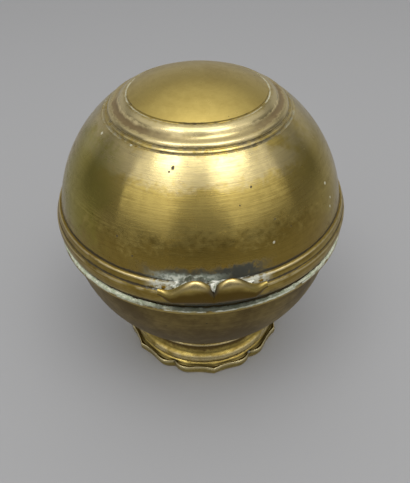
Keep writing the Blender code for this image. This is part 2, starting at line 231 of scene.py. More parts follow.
def turning_lines_effect():
    """Fine and coarser lines round the upright axis, as a lathe and years of wiping leave them."""
    tree, given, result = effect(
        "turning lines",
        {"Vector": None, "Centre height": 0.05, "Fineness": 210.0, "Wander": 3.2},
        [("Lines", "Float")],
    )
    x, y, z = put(tree, "SeparateXYZ", {0: given["Vector"]}).outputs
    radius = maths(tree, "MAXIMUM", distance_from_axis(tree, x, y), 0.0005)
    rise = maths(tree, "SUBTRACT", z, given["Centre height"])
    tilt = maths(tree, "ARCTAN2", rise, radius)
    side = times(tree, maths(tree, "DIVIDE", x, radius), given["Wander"])
    ahead = times(tree, maths(tree, "DIVIDE", y, radius), given["Wander"])
    fine_along = times(tree, tilt, given["Fineness"])
    coarse_along = times(tree, tilt, times(tree, given["Fineness"], 0.3))
    streaks = []
    for along, detail in ((fine_along, 2.0), (coarse_along, 3.0)):
        spread = put(tree, "CombineXYZ", {"X": side, "Y": ahead, "Z": along})
        streaks.append(noise_level(tree, spread.outputs[0], 1.0, detail, 0.65))
    both = put(tree, "Mix", {"Factor": 0.45, "A": streaks[0], "B": streaks[1]})
    tree.links.new(eased_range(tree, both.outputs["Result"], 0.34, 0.66), result["Lines"])
    return tree


def ring_mark_effect():
    """A band round the axis at a radius and height, for dirt in a groove or wear on an edge.

    Noise breaks it up, and it may be kept to one side of the object.
    """
    tree, given, result = effect(
        "ring mark",
        {
            "Vector": None,
            "Radius": 0.02,
            "Height": 0.05,
            "Width": 0.001,
            "Broken": 0.0,
            "Patches": 110.0,
            "Side": 0.0,
            "Spread": 20.0,
        },
        [("Mask", "Float")],
    )
    place = given["Vector"]
    x, y, z = put(tree, "SeparateXYZ", {0: place}).outputs
    out = maths(tree, "SUBTRACT", distance_from_axis(tree, x, y), given["Radius"])
    up = maths(tree, "SUBTRACT", z, given["Height"])
    away = distance_from_axis(tree, out, up)
    grain = noise_level(tree, place, 900.0, 4.0)
    patches = noise_level(tree, place, given["Patches"], 4.0, 0.6)
    front = maths(tree, "ARCTAN2", x, times(tree, y, -1.0))
    aside = maths(tree, "ABSOLUTE", maths(tree, "SUBTRACT", front, given["Side"]))
    ragged = swing(tree, grain, 0.9)
    wavy = swing(tree, patches, 1.1)
    near = plus(tree, maths(tree, "DIVIDE", away, given["Width"]), ragged)
    band = eased_range(tree, plus(tree, near, wavy), 1.0, 0.4)
    low = maths(tree, "SUBTRACT", given["Broken"], 0.07)
    high = plus(tree, given["Broken"], 0.07)
    kept = eased_range(tree, patches, low, high)
    end = plus(tree, maths(tree, "DIVIDE", aside, given["Spread"]), wavy)
    mask = times(tree, band, kept)
    mask = times(tree, mask, eased_range(tree, end, 1.0, 0.3))
    tree.links.new(mask, result["Mask"])
    return tree


def spot_effect():
    """One small ragged spot at a place, for a pit or a speck of dried polish."""
    tree, given, result = effect(
        "spot",
        {"Vector": None, "Place": None, "Size": 0.001},
        [("Mask", "Float")],
    )
    away = put(
        tree,
        "VectorMath",
        {0: given["Vector"], 1: given["Place"]},
        operation="DISTANCE",
    ).outputs["Value"]
    ragged = swing(tree, noise_level(tree, given["Vector"], 1400.0, 3.0), 1.2)
    near = plus(tree, maths(tree, "DIVIDE", away, given["Size"]), ragged)
    tree.links.new(eased_range(tree, near, 1.0, 0.5), result["Mask"])
    return tree


def old_brass_effect():
    """Brass gone golden, brown in clouds and along its lines, with small stains and rare pits."""
    tree, given, result = effect(
        "old brass",
        {
            "Vector": None,
            "Bright": brass_colour,
            "Brown": brown_colour,
            "Browning": 0.3,
            "Lines": 0.5,
            "Streaks": 0.5,
            "Stains": 0.7,
            "Polish": 0.3,
        },
        [("Colour", "Color"), ("Roughness", "Float"), ("Height", "Float")],
    )
    place = given["Vector"]
    clouds = noise_level(tree, place, 45.0, 5.0, 0.62)
    stains = noise_level(tree, place, 420.0, 4.0, 0.6)
    lines = given["Lines"]
    level = given["Browning"]
    for value, share in ((clouds, 1.1), (stains, given["Stains"]), (lines, given["Streaks"])):
        level = plus(tree, level, swing(tree, value, share))
    level = maths(tree, "MINIMUM", maths(tree, "MAXIMUM", level, 0.0), 1.0)
    colour = mixed(tree, level, given["Bright"], given["Brown"])
    cells = put(tree, "TexVoronoi", {"Vector": place, "Scale": 640.0})
    chance = put(tree, "SeparateXYZ", {0: cells.outputs["Color"]}).outputs
    rare = eased_range(tree, chance[0], 0.955, 0.975)
    size = plus(tree, times(tree, chance[1], 0.22), 0.08)
    away = maths(tree, "DIVIDE", cells.outputs["Distance"], size)
    pit = times(tree, eased_range(tree, away, 1.0, 0.4), rare)
    colour = mixed(tree, times(tree, pit, 0.75), colour, grime_colour)
    rough = plus(tree, given["Polish"], times(tree, level, 0.14))
    rough = plus(tree, rough, swing(tree, stains, 0.14))
    ridges = times(tree, lines, given["Streaks"])
    height = maths(tree, "SUBTRACT", ridges, pit)
    tree.links.new(colour, result["Colour"])
    tree.links.new(rough, result["Roughness"])
    tree.links.new(height, result["Height"])
    return tree


turning_lines = turning_lines_effect()
ring_mark = ring_mark_effect()
spot = spot_effect()
old_brass = old_brass_effect()


def mark_mask(tree, place, values):
    """Where a mark lies: a painted attribute of the mesh, a spot at a place, or a ring."""
    if "attribute" in values:
        painted_on = put(tree, "Attribute", attribute_name=values["attribute"]).outputs["Fac"]
        ragged = swing(tree, noise_level(tree, place, 500.0, 3.0), 0.4)
        return eased_range(tree, plus(tree, painted_on, ragged), 0.12, 0.88)
    if "place" in values:
        mark = use(tree, spot, vector=place, place=values["place"], size=values["size"])
        return mark.outputs["Mask"]
    about = ("colour", "strength", "crust", "smoother")
    ring = {key: values[key] for key in values if key not in about}
    return use(tree, ring_mark, vector=place, **ring).outputs["Mask"]


def new_material(name):
    """A new material, its node tree and its Principled shader."""
    made = bpy.data.materials.new(name)
    made.use_nodes = True
    return made, made.node_tree, made.node_tree.nodes["Principled BSDF"]


def brass(name, polish, browning, centre_height, marks=(), turning=0.5, relief=0.3, **others):
    """An old brass material.

    Each mark is a dict of its colour, its place, its strength, the height of its crust, and how
    much smoother it makes the metal.
    """
    made, tree, shader = new_material(name)
    place = put(tree, "TexCoord").outputs["Object"]
    lines = use(tree, turning_lines, vector=place, centre_height=centre_height)
    given = dict(browning=browning, lines=lines.outputs["Lines"], polish=polish, **others)
    base = use(tree, old_brass, vector=place, **given)
    colour = base.outputs["Colour"]
    roughness = base.outputs["Roughness"]
    height = base.outputs["Height"]
    metal = None
    for values in marks:
        mask = mark_mask(tree, place, values)
        cover = times(tree, mask, values.get("strength", 0.9))
        colour = mixed(tree, cover, colour, values["colour"])
        crust = values.get("crust", 1)
        if crust:
            roughness = plus(tree, roughness, times(tree, cover, 0.4))
            height = plus(tree, height, times(tree, cover, crust))
            bare = maths(tree, "SUBTRACT", 1.0, cover)
            metal = bare if metal is None else times(tree, metal, bare)
        if "smoother" in values:
            eased_by = times(tree, cover, values["smoother"])
            roughness = maths(tree, "SUBTRACT", roughness, eased_by)
    tree.links.new(colour, shader.inputs["Base Color"])
    tree.links.new(roughness, shader.inputs["Roughness"])
    if metal is None:
        shader.inputs["Metallic"].default_value = 1
    else:
        tree.links.new(metal, shader.inputs["Metallic"])
    if turning:
        shader.inputs["Anisotropic"].default_value = turning
        shader.inputs["Anisotropic Rotation"].default_value = 0.25
        tangent = put(tree, "Tangent", direction_type="RADIAL", axis="Z")
        tree.links.new(tangent.outputs[0], shader.inputs["Tangent"])
    bump = put(tree, "Bump", {"Strength": relief, "Distance": 0.00006, "Height": height})
    tree.links.new(bump.outputs[0], shader.inputs["Normal"])
    return made


def painted(shape, name, amount):
    """Stores an amount from 0 to 1 at each point of a bmesh, for a material to read."""
    layer = shape.verts.layers.float.new(name)
    for vertex in shape.verts:
        vertex[layer] = amount(vertex.co)


def peak(value, middle, reach):
    """1 at the middle value, falling to 0 this far to each side of it."""
    return max(0, 1 - abs(value - middle) / reach)


def film(colour, place, width, **others):
    """A mark on a ring round the axis, at a (radius, height) place."""
    return dict(colour=colour, radius=place[0], height=place[1], width=width, **others)


def dirt(place, width, **others):
    """A film of dark grime in a groove."""
    return film(grime_colour, place, width, **others)


def wear_and_sheen(place, width, **others):
    """A film of paler worn colour where an edge is rubbed bright; on the foot's torus it is partly a
    painted highlight.
    """
    return film(worn_and_sheen_colour, place, width, crust=0, **others)


def bearing(place):
    """The angle of a place off the front, and its radius from the axis."""
    return math.atan2(place.x, -place.y), math.hypot(place.x, place.y)


def standing(angle, radius, height):
    """The place at an angle off the front, a radius from the axis and a height."""
    return (radius * math.sin(angle), -radius * math.cos(angle), height)


def foot_edge(angle):
    """Radius of the rim's edge at an angle from the front: a brace between two notches."""
    share = abs((angle - foot_lobe_turn) / math.pi * foot_lobe_count % 2 - 1)
    if share <= foot_shoulder_share:
        rise = math.sin(math.pi / 2 * share / foot_shoulder_share)
        return foot_notch_radius + (foot_shoulder_radius - foot_notch_radius) * rise
    if share <= foot_waist_share:
        fall = (share - foot_shoulder_share) / (foot_waist_share - foot_shoulder_share)
        drop = (1 - math.cos(math.pi * fall)) / 2
        return foot_shoulder_radius - (foot_shoulder_radius - foot_waist_radius) * drop
    climb = (share - foot_waist_share) / (1 - foot_waist_share)
    return foot_waist_radius + (foot_cusp_radius - foot_waist_radius) * climb**2


foot_drum_shares = (
    (1.0, 0.92), (0.955, 0.88), (0.935, 0.83), (0.955, 0.785), (0.992, 0.765), (1.005, 0.735),
    (0.995, 0.705), (0.962, 0.68), (0.940, 0.61), (0.930, 0.51), (0.936, 0.42), (0.960, 0.34),
    (1.000, 0.295), (1.020, 0.24), (1.020, 0.175), (1.000, 0.11), (0.968, 0.07),
)
foot_flange_shares = (
    (0.12, 1.16), (0.45, 0.92), (0.78, 1.14), (0.93, 1.12), (1.0, 0.88), (0.98, 0.36), (0.74, 0.0),
)
foot_drum_height = foot_height - foot_flange_height
foot_flange_width = foot_cusp_radius - foot_drum_radius


def on_drum(across, up):
    """A (radius, height) place, from shares of the drum's radius and height."""
    return (foot_drum_radius * across, foot_flange_height + foot_drum_height * up)


foot_seat_angles = [
    -math.degrees(math.acos(radius / bowl_seat_radius))
    for radius in (foot_inner_radius, foot_top_radius)
]
foot_outline = [on_drum(*share) for share in foot_drum_shares]
foot_outline += [
    (foot_drum_radius + foot_flange_width * out, foot_flange_height * up)
    for out, up in foot_flange_shares
]
foot_outline = softened([(foot_top_radius, foot_height)] + foot_outline, 0.0005, closed=False)
foot_outline += [(foot_inner_radius + foot_inner_chamfer, 0), (foot_inner_radius, foot_inner_chamfer)]
foot_outline += arc((0, bowl_centre_height), bowl_seat_radius, *foot_seat_angles, 6)[:-1]
foot_shape = turned(foot_outline, foot_steps)
for vertex in foot_shape.verts:
    angle, radius = bearing(vertex.co)
    if radius > foot_drum_radius and vertex.co.z < 1.5 * foot_flange_height:
        pull = (foot_edge(angle) - foot_drum_radius) / foot_flange_width
        reach = foot_drum_radius + (radius - foot_drum_radius) * pull
        vertex.co.x *= reach / radius
        vertex.co.y *= reach / radius


def foot_out(place):
    """How far out on the flange a place is: 0 at the drum and 1 at the lobed edge."""
    angle, radius = bearing(place)
    return (radius - foot_drum_radius) / (foot_edge(angle) - foot_drum_radius)


def foot_worn_highlit_edge(place):
    """1 on the rolled upper edge of the lobes."""
    return peak(foot_out(place), 0.90, 0.17) if place.z > foot_flange_height * 0.8 else 0


def foot_channel(place):
    """1 in the hollow of the flange between the drum and the rolled edge."""
    high = place.z / foot_flange_height
    return peak(foot_out(place), 0.36, 0.60) if 0.6 < high < 1.5 else 0


def foot_outer_face(place):
    """1 on the upright face of the lobes."""
    return 1 if foot_out(place) > 0.93 and place.z < foot_flange_height * 0.85 else 0


# The rolled upper edge is paler: rubbed wear, and partly a painted highlight.
painted(foot_shape, "worn_edge", foot_worn_highlit_edge)
painted(foot_shape, "outer_face", foot_outer_face)
painted(foot_shape, "channel", foot_channel)


def foot_notch(turn):
    """A place in a notch of the rim, at an angle from the front."""
    return standing(turn, foot_edge(turn) - foot_notch_inset, foot_notch_height)


foot_right_notch = foot_notch(foot_lobe_turn + math.pi / foot_lobe_count)
foot_left_notch = foot_notch(foot_lobe_turn - math.pi / foot_lobe_count)
foot_marks = [
    dict(colour=(0.13, 0.10, 0.035, 1), attribute="channel", crust=0, strength=0.85),
    dirt(on_drum(0.970, 0.07), 0.0007, broken=0.40, patches=200, strength=0.75),
    # Painted shade: the drum's hollow is darkened.
    film((0.13, 0.08, 0.028, 1), on_drum(0.935, 0.53), 0.0023, strength=0.8, crust=0),
    dirt(on_drum(0.935, 0.83), 0.0017),
    wear_and_sheen(on_drum(1.005, 0.74), 0.0006),
    # A paler worn band on the torus, partly a painted highlight.
    wear_and_sheen(on_drum(1.012, 0.26), 0.0013, broken=0.46, strength=0.75, smoother=0.03),
    dict(colour=(0.42, 0.33, 0.085, 1), attribute="outer_face", crust=0, strength=0.7),
    # The rolled edge: rubbed wear, made paler still as a painted highlight.
    dict(colour=(0.95, 0.82, 0.45, 1), attribute="worn_edge", crust=0, strength=1, smoother=0.10),
    dict(colour=grime_colour, place=foot_right_notch, size=0.0011),
    dict(colour=(0.75, 0.74, 0.66, 1), place=foot_right_notch, size=0.0006),
    dict(colour=grime_colour, place=foot_left_notch, size=0.0009),
]
foot_brass = brass(
    "foot_brass", polish=0.24, browning=0.42, centre_height=0.03, marks=foot_marks, stains=1.5
)
foot = finished("polished_foot", foot_shape, foot_brass, "bowl", "foot")


# Bowl
# Sheet brass raised to a hemisphere with a short straight collar, planished and turned smooth.
# It has browned more than the lid, which hands keep bright.
bowl_radius = 0.0414
bowl_inner_radius = 0.0396
bowl_grime_height = 0.0517
rim_height = 0.054363
bowl_outline = [(bowl_radius, rim_height)]
bowl_outline += arc((0, bowl_centre_height), bowl_radius, 0, -90, 64)
bowl_outline += arc((0, bowl_centre_height), bowl_inner_radius, -90, 0, 56)
bowl_outline += [(bowl_inner_radius, rim_height)]
bowl_marks = [
    dirt((bowl_radius, bowl_grime_height), 0.0012, strength=0.75),
    dirt((foot_top_radius, foot_height), 0.0012),
]
bowl_brass = brass(
    "browned_bowl",
    polish=0.34,
    browning=0.93,
    centre_height=bowl_centre_height,
    marks=bowl_marks,
    streaks=0.16,
    stains=0.35,
    brown=(0.135, 0.092, 0.030, 1),
)
bowl = finished("turned_bowl", turned(bowl_outline, 192), bowl_brass, "bowl", "bowl_shell")


# Solder
# The thin fillet of soft solder that shows round the joint where the bowl sits in its foot. It has
# been polished along with the foot for years, and has the same dull golden look.
solder_radius = 0.00045
solder_centre = (foot_top_radius - 0.0001, foot_height + 0.00005)
solder_outline = arc(solder_centre, solder_radius, 0, 330, 12)
solder = finished("solder_fillet", turned(solder_outline, 192), foot_brass, "bowl")


# Bowl rim
# A narrow turned brass moulding sweated round the mouth of the bowl. Its upper edge is chamfered, and
# polish has dried to a pale green crust in the seam that the chamfer leaves under the lid.
rim_radius = 0.0435
bowl_rim_inner_radius = 0.0417
bowl_rim_height = 0.0022
bowl_rim_width = rim_radius - bowl_rim_inner_radius
bowl_rim_base = rim_height - bowl_rim_height
bowl_rim_shares = (
    (0, 1.0), (0.50, 1.0), (0.92, 0.78), (1.0, 0.62), (1.0, 0.30), (0.80, 0.10), (0.45, 0.0), (0, 0.0),
)
rim_chamfer_place = (0.0426, rim_height)
rim_seam_place = (0.0432, 0.0539)
rim_line_place = (rim_radius - 0.00006, 0.05366)
verdigris_colour = (0.50, 0.56, 0.44, 1)
hinge_flat = 0.0424


def flattened(shape, distance):
    """The ring with a flat at the back, where the hinge's leaf lies."""
    cut = bmesh.ops.bisect_plane(
        shape,
        geom=shape.verts[:] + shape.edges[:] + shape.faces[:],
        dist=0.000001,
        plane_co=(0, distance, 0),
        plane_no=(0, 1, 0),
        clear_outer=True,
    )
    edges = [item for item in cut["geom_cut"] if isinstance(item, bmesh.types.BMEdge)]
    bmesh.ops.holes_fill(shape, edges=edges)
    bmesh.ops.recalc_face_normals(shape, faces=shape.faces)
    return shape


bowl_rim_outline = softened(
    [
        (bowl_rim_inner_radius + bowl_rim_width * out, bowl_rim_base + bowl_rim_height * up)
        for out, up in bowl_rim_shares
    ],
    0.00015,
)
bowl_rim_marks = [
    dirt((bowl_rim_inner_radius, bowl_rim_base), 0.0009),
    dirt(rim_chamfer_place, 0.0012, strength=0.8),
    film(verdigris_colour, rim_seam_place, 0.0007, broken=0.5, strength=0.8),
    film((0.66, 0.68, 0.56, 1), rim_line_place, 0.00034, broken=0.50, patches=420),
]
bowl_rim_brass = brass(
    "bowl_rim_brass",
    polish=0.32,
    browning=0.55,
    centre_height=bowl_centre_height,
    marks=bowl_rim_marks,
    turning=0.3,
    brown=(0.19, 0.125, 0.04, 1),
)
bowl_rim_shape = flattened(turned(bowl_rim_outline, 256), hinge_flat)
bowl_rim = finished("bowl_rim", bowl_rim_shape, bowl_rim_brass, "bowl", "bowl_rim_moulding")


# Bezel
# A thin turned brass ring pressed into the mouth of the bowl. It stands proud of the rim and
# centres the lid.
bezel_outer_radius = 0.0393
bezel_inner_radius = 0.0383
bezel_top = rim_height + 0.0035
bezel_base = rim_height - 0.0055
bezel_corner = 0.00035
bezel_lead = 0.0010
bezel_outline = softened(
    [
        (bezel_outer_radius - bezel_corner, bezel_top),
        (bezel_outer_radius, bezel_top - bezel_corner),
        (bezel_outer_radius, bezel_base + bezel_lead),
        (bezel_outer_radius - bezel_corner, bezel_base),
        (bezel_inner_radius, bezel_base),
        (bezel_inner_radius, bezel_top),
    ],
    0.00015,
)
bezel_brass = brass("bezel_brass", polish=0.26, browning=0.2, centre_height=bowl_centre_height)
bezel = finished("bezel", turned(bezel_outline, 192), bezel_brass, "bowl", "bezel_ring")


# Lid
# Sheet brass raised and turned like the bowl, with a flat disc in the middle of a ring of
# mouldings: a convex shoulder, a hollow, a bead and two fine lines. Its edge steps in to a spigot.
lid_radius = 0.0424
lid_inner_radius = 0.0409
lid_base_height = 0.054663
dome_edge_height = 0.062963
spigot_radius = 0.04092
spigot_inner_radius = 0.0396
spigot_rise = 0.0018
crown_groove_radius = 0.0187
crown_bead_radius = 0.0237
crown_inner_line_radius = 0.0244
crown_outer_line_radius = 0.02545
crown_line_half_width = 0.00028
crown_line_depth = 0.0004
crown_shoulder_height = 0.00022
crown_cove_depth = 0.00055
crown_cove_start_share = 0.30
crown_cove_end_share = 0.96
crown_steps = 18


def on_dome(radius, proud=0):
    """A point of the dome's outer side at a radius, raised or sunk along the sphere's normal."""
    angle = math.acos(radius / lid_radius)
    distance = lid_radius + proud
    return (distance * math.cos(angle), rim_height + distance * math.sin(angle))


def crown_line(radius):
    """A fine turned line: its two edges and its bottom."""
    return [
        on_dome(radius - crown_line_half_width),
        on_dome(radius, -crown_line_depth),
        on_dome(radius + crown_line_half_width),
    ]


def on_lid(azimuth, elevation):
    """A place on the dome, from its angle off the front and its angle above the rim."""
    radius = lid_radius * math.cos(math.radians(elevation))
    height = rim_height + lid_radius * math.sin(math.radians(elevation))
    return standing(math.radians(azimuth), radius, height)


def angle_at(radius, sphere=lid_radius):
    """The angle above the rim at which a sphere has this radius from the axis."""
    return math.degrees(math.acos(radius / sphere))


crown_start = crown_groove_radius + crown_line_half_width
crown_width = crown_bead_radius - crown_start
crown = crown_line(crown_groove_radius)
for step in range(3, crown_steps + 1):
    along = step / crown_steps
    within = (along - crown_cove_start_share) / (crown_cove_end_share - crown_cove_start_share)
    dip = (1 - math.cos(2 * math.pi * max(0, min(1, within)))) / 2
    proud = crown_shoulder_height - crown_cove_depth * dip
    crown.append(on_dome(crown_start + crown_width * along, proud))
crown += crown_line(crown_inner_line_radius) + crown_line(crown_outer_line_radius)
disc_edge = angle_at(crown_groove_radius - crown_line_half_width)
flank_start = angle_at(crown_outer_line_radius + crown_line_half_width)
flank_end = math.degrees(math.asin((dome_edge_height - rim_height) / lid_radius))
disc_points = arc((0, rim_height), lid_radius, 90, disc_edge, 28)[:-1]
flank_points = arc((0, rim_height), lid_radius, flank_start, flank_end, 40)[1:]
spigot_points = softened(
    [
        flank_points[-1],
        (spigot_radius, dome_edge_height),
        (spigot_radius, lid_base_height + spigot_rise),
        (spigot_inner_radius, lid_base_height + spigot_rise),
    ],
    0.0002,
    closed=False,
)
inside_start = angle_at(spigot_inner_radius, lid_inner_radius)
inside_points = arc((0, rim_height), lid_inner_radius, inside_start, 90, 48)
lid_outline = disc_points + softened(crown, 0.00022, closed=False) + flank_points[:-1]
lid_outline += spigot_points + inside_points
groove = on_dome(crown_groove_radius)
cove = on_dome(crown_start + crown_width * 0.64, -0.0003)
inner_line = on_dome(crown_inner_line_radius)
outer_line = on_dome(crown_outer_line_radius)
crest = on_dome(crown_start + crown_width * 0.30, crown_shoulder_height)
bead = on_dome(crown_bead_radius, crown_shoulder_height)
dome_foot = (0.0414, dome_edge_height)
residue = dict(colour=(0.56, 0.55, 0.42, 1), broken=0.42, patches=300, strength=0.9)
outer_residue = dict(residue, place=outer_line, width=0.0004, strength=0.55)
# Paler rubbed bands on the upper dome and the crown: wear, and partly a painted highlight that whitens
# the bright reflections there.
upper_wear_and_sheen = dict(colour=(0.71, 0.61, 0.36, 1), crust=0, broken=0.36, strength=0.5)
flank_tarnish = dict(place=(0.0365, 0.0760), width=0.0170, crust=0, strength=0.6)
low_brown = (0.26, 0.172, 0.031, 1)
# A dark brown painted into the crown's hollow at the left and right: painted shade.
cove_shade_brown = (0.13, 0.085, 0.035, 1)
soot_colour = (0.040, 0.042, 0.030, 1)
# Angles off the front and above the rim, in degrees, and the size of each spot.
lid_pits = (
    (-15.9, 48.6, 0.00055), (-17.5, 47.2, 0.0003), (-34.8, 23.1, 0.0004), (24.8, 28.6, 0.0004),
    (18.2, 40.8, 0.0004), (12.0, 36.0, 0.00025), (-28.0, 18.0, 0.0003), (31.0, 24.0, 0.0003),
    (96.0, 30.0, 0.0005), (-120.0, 42.0, 0.0005), (160.0, 35.0, 0.0006),
)
lid_specks = (
    (57.1, 28.2, 0.0006), (57.6, 22.0, 0.0005), (55.8, 19.3, 0.0005), (22.8, 21.2, 0.0004),
    (-67.0, 50.1, 0.0005), (-42.2, 52.6, 0.0004), (140.0, 22.0, 0.0005),
)
lid_marks = [
    film(low_brown, (0.0405, 0.0640), 0.0120, crust=0, strength=0.8),
    # Rubbed wear and painted highlight: paler bands on the upper dome and the crown.
    film(**upper_wear_and_sheen, place=on_dome(0.0285), width=0.0060),
    film(**upper_wear_and_sheen, place=on_dome(0.0218), width=0.0045),
    film((0.40, 0.36, 0.06, 1), **flank_tarnish, side=-1.15, spread=0.55),
    film((0.50, 0.385, 0.08, 1), **flank_tarnish, side=1.15, spread=0.50),
    # Painted shade: the crown's hollow is darker at the left and right sides.
    film(cove_shade_brown, cove, 0.0017, side=-1.2, spread=1.2),
    film(cove_shade_brown, cove, 0.0015, side=1.25, spread=1.0),
    dirt(groove, 0.00042, strength=0.8),
    dirt(inner_line, 0.00040, strength=0.85),
    dirt(outer_line, 0.00040, strength=0.85),
    film(**residue, place=groove, width=0.0006, side=-1.3, spread=1.3),
    film(**residue, place=groove, width=0.0006, side=1.25, spread=1.2),
    film(**outer_residue, side=-1.4, spread=1.0),
    film(**outer_residue, side=1.3, spread=0.9),
    dirt(dome_foot, 0.0007),
    film(
        soot_colour, (0.0409, 0.0645), 0.0030,
        crust=0.3, broken=0.42, patches=480, side=0.15, spread=0.28, strength=0.95,
    ),
    film(
        soot_colour, (0.0413, 0.0642), 0.0028,
        crust=0.3, broken=0.34, patches=260, side=-0.06, spread=0.50,
    ),
    film(
        (0.27, 0.31, 0.25, 1), (0.0414, 0.0637), 0.0018,
        broken=0.40, patches=420, side=-0.14, spread=0.30, strength=0.85,
    ),
    film(
        (0.70, 0.73, 0.64, 1), (0.0414, 0.0635), 0.0017,
        broken=0.52, patches=800, side=-0.15, spread=0.26, strength=0.9,
    ),
]
for colour, spots in ((grime_colour, lid_pits), (residue["colour"], lid_specks)):
    for azimuth, elevation, size in spots:
        lid_marks.append(dict(colour=colour, place=on_lid(azimuth, elevation), size=size))
lid_marks += [wear_and_sheen(crest, 0.0016, strength=0.7), wear_and_sheen(bead, 0.0006, strength=0.7)]
lid_brass = brass(
    "lid_brass",
    polish=0.18,
    browning=0.22,
    centre_height=rim_height,
    marks=lid_marks,
    turning=0.93,
    stains=1.0,
)
disc_brass = brass(
    "disc_brass",
    polish=0.30,
    browning=0.15,
    centre_height=rim_height,
    marks=[dirt(groove, 0.0004, strength=0.8)],
    turning=0,
    relief=0.15,
    streaks=0.12,
)
lid = finished("turned_lid", turned(lid_outline, 256, closed=False), lid_brass, "lid", "lid_dome")
lid.data.materials.append(disc_brass)
for face in lid.data.polygons:
    middle = face.center
    on_disc = math.hypot(middle.x, middle.y) < crown_groove_radius and middle.z > rim_height
    face.material_index = 1 if on_disc else 0


# Lid moulding
# A cast and turned brass ring sweated to the lid's spigot: a slanted band with a crisp upper edge
# over a fuller bead that is undercut above the seam.
lid_band_inner_radius = 0.04122
lid_band_radius = 0.0436
lid_band_height = 0.0080
lid_band_width = lid_band_radius - lid_band_inner_radius
lid_band_shares = (
    (0, 1.0), (0.32, 1.0), (0.46, 0.975), (0.56, 0.92), (0.70, 0.765), (0.60, 0.735), (0.74, 0.71),
    (0.90, 0.65), (0.98, 0.56), (1.0, 0.46), (0.985, 0.32), (0.90, 0.21), (0.76, 0.13), (0.52, 0.06),
    (0.50, 0.0), (0, 0.0),
)
lid_band_points = [
    (lid_band_inner_radius + lid_band_width * out, lid_base_height + lid_band_height * up)
    for out, up in lid_band_shares
]
band_top, band_groove, band_undercut = (lid_band_points[i] for i in (0, 5, 12))
band_crest, band_bead = (lid_band_points[i] for i in (2, 7))
band_residue = dict(colour=(0.60, 0.61, 0.52, 1), patches=700)
band_residue_radius = 0.0427
lid_band_marks = [
    dirt(band_top, 0.0006, strength=0.8),
    dirt(band_groove, 0.0006),
    dirt(band_undercut, 0.0012, strength=0.85),
    wear_and_sheen(band_crest, 0.00036, strength=0.8, broken=0.36),
    wear_and_sheen(band_bead, 0.00045, strength=0.75, broken=0.42),
    # Under the thumbpiece: a dark crust on the lower bead, and a painted shadow.
    film(
        (0.040, 0.046, 0.034, 1), (0.0434, lid_base_height + 0.0012), 0.0026,
        broken=0.38, patches=300, side=0.06, spread=0.44, strength=0.85,
    ),
    film((0.70, 0.70, 0.58, 1), band_crest, 0.00040, broken=0.36, patches=300, spread=0.50),
    dirt((0.0421, 0.0627), 0.0011, broken=0.42, patches=300, spread=0.46, strength=0.8),
    film(
        place=(band_residue_radius, lid_base_height + 0.0071),
        width=0.0020, broken=0.45, side=-0.28, spread=0.14, **band_residue
    ),
    film(
        place=(band_residue_radius, lid_base_height + 0.0072),
        width=0.0017, broken=0.44, side=0.26, spread=0.12, **band_residue
    ),
]
lid_band_brass = brass(
    "lid_moulding_brass",
    polish=0.27,
    browning=0.75,
    centre_height=rim_height,
    marks=lid_band_marks,
    turning=0.4,
    brown=(0.25, 0.165, 0.027, 1),
)
lid_band_shape = flattened(turned(softened(lid_band_points, 0.00016), 256), hinge_flat)
lid_band = finished("lid_moulding", lid_band_shape, lid_band_brass, "lid", "lid_rim_moulding")


# Thumbpiece
# A cast brass brace with two humps, filed smooth and let into the moulding at the front, where a
# thumb lifts the lid. Polish has dried white in the notch between the humps and behind them.
thumb_back_radius = 0.0431
thumb_depth = 0.0025
thumb_half_width = 0.0136
thumb_hump_share = 0.0043 / thumb_half_width
thumb_bottom_rise = 0.0040
thumb_end_bottom_rise = 0.0049
thumb_end_rise = 0.0067
thumb_notch_rise = 0.0071
thumb_hump_rise = 0.0109
thumb_end_depth = 0.0011
thumb_full_share = 0.70
thumb_fall = 1.2
thumb_notch_depth_share = 0.94
thumb_valley_share = 0.70
thumb_section_shares = (
    (0, 0), (0.66, 0.0), (0.90, 0.07), (1.0, 0.20), (0.98, 0.40), (0.90, 0.62), (0.76, 0.82),
    (0.56, 0.95), (0.34, 1.0), (0.12, 0.98), (0, 0.88),
)


def eased(share):
    """A smooth step from 0 to 1."""
    return (1 - math.cos(math.pi * share)) / 2


def thumb_top_rise(across):
    """Height of the top edge over the moulding's base, from the notch at 0 to the end at 1."""
    if across <= thumb_hump_share:
        climb = math.sin(math.pi / 2 * (across / thumb_hump_share) ** thumb_valley_share)
        return thumb_notch_rise + (thumb_hump_rise - thumb_notch_rise) * climb
    fall = min(1, thumb_fall * (across - thumb_hump_share) / (1 - thumb_hump_share))
    return thumb_hump_rise - (thumb_hump_rise - thumb_end_rise) * eased(fall)


def thumb_swell(across):
    """0 at the ends and 1 over the middle stretch."""
    if across <= thumb_full_share:
        return 1
    return eased((1 - across) / (1 - thumb_full_share))


def close_ends(shape):
    """Closes the two open ends of a bmesh that is turned part of the way."""
    bmesh.ops.holes_fill(shape, edges=[edge for edge in shape.edges if edge.is_boundary])
    bmesh.ops.recalc_face_normals(shape, faces=shape.faces)


